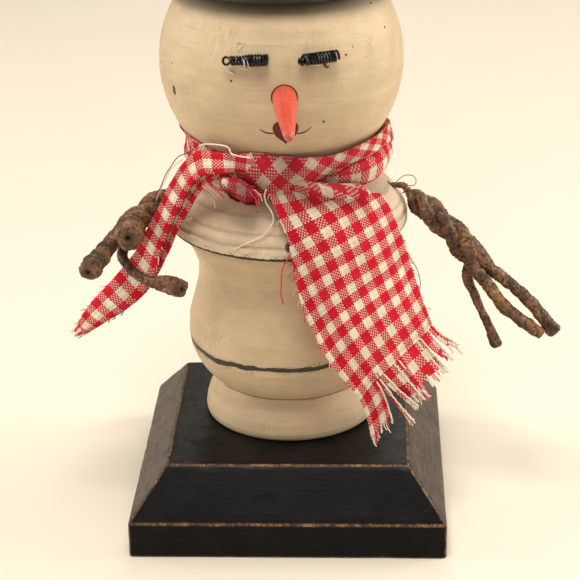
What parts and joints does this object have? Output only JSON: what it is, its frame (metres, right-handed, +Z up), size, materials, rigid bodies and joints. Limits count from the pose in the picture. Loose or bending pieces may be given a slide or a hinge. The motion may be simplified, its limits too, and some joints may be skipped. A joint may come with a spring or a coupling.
{
  "type": "wooden snowman figure",
  "caption": "Turned wooden snowman on a chamfered black base, with a ball head, top hat, carrot nose, wire-coil eyes, checked cloth scarf and bendable wrapped-wire arms.",
  "frame": {"origin": "centre of the base's underside", "axes": "+Z up, -Y to the figure's front, +X to the right of somebody looking at the front"},
  "size_m": [0.1548, 0.1058, 0.2021],
  "materials": {
    "cream_paint": "aged cream paint on turned wood, sanded through to black at edges",
    "black_paint": "satin black paint on wood, rubbed through to brown along edges",
    "hat_gloss_black": "gloss black paint",
    "orange_paint": "satin coral-orange paint, chipped at the tip",
    "black_wire": "black lacquered wire",
    "bead_black": "small black bead",
    "twig_wrap": "paper tape wrapped over wire, stained mottled brown and varnished",
    "arm_wire": "dark soft iron wire",
    "gingham": "red and white checked woven cotton with frayed edges",
    "bare_wood": "unpainted hardwood dowel",
    "screw_steel": "zinc plated"
  },
  "bodies": {
    "figure": {"base_block": "black_paint", "base_screw_left": "screw_steel", "base_screw_right": "screw_steel", "lower_body": "cream_paint", "shoulder_cap": "cream_paint", "head_ball": "cream_paint", "body_dowel": "bare_wood", "neck_dowel": "bare_wood", "hat_dowel": "bare_wood", "hat_brim": "hat_gloss_black", "hat_crown": "hat_gloss_black", "carrot_nose": "orange_paint", "left_eye_coil": "black_wire", "right_eye_coil": "black_wire", "coal_button": "bead_black", "scarf_wrap": "gingham", "scarf_knot": "gingham", "scarf_left_tail": "gingham", "scarf_right_tail": "gingham"},
    "left_arm_wire": {"left_arm_stem": "arm_wire"},
    "left_arm": {"left_arm_core_wire": "arm_wire", "left_arm_front_strand": "twig_wrap", "left_arm_outer_strand": "twig_wrap", "left_arm_thin_strand": "twig_wrap"},
    "right_arm_wire": {"right_arm_stem": "arm_wire"},
    "right_arm": {"right_arm_core_wire": "arm_wire", "right_arm_upper_strand": "twig_wrap", "right_arm_lower_strand": "twig_wrap", "right_arm_thin_strand": "twig_wrap"}
  },
  "joints": [
    {"name": "left_arm_swivel", "type": "hinge", "parent": "figure", "child": "left_arm_wire", "pos_m": [-0.03725, 0.00512, 0.1048], "axis": [-1, 0, 0], "range_deg": [0, 30]},
    {"name": "left_arm_bend", "type": "hinge", "parent": "left_arm_wire", "child": "left_arm", "pos_m": [-0.03795, 0.00512, 0.1041], "axis": [0, 0, -1], "range_deg": [0, 60]},
    {"name": "right_arm_swivel", "type": "hinge", "parent": "figure", "child": "right_arm_wire", "pos_m": [0.03655, 0.00512, 0.1048], "axis": [-1, 0, 0], "range_deg": [-25, 40]},
    {"name": "right_arm_bend", "type": "hinge", "parent": "right_arm_wire", "child": "right_arm", "pos_m": [0.03725, 0.00512, 0.1041], "axis": [0, -1, 0], "range_deg": [0, 60]}
  ]
}
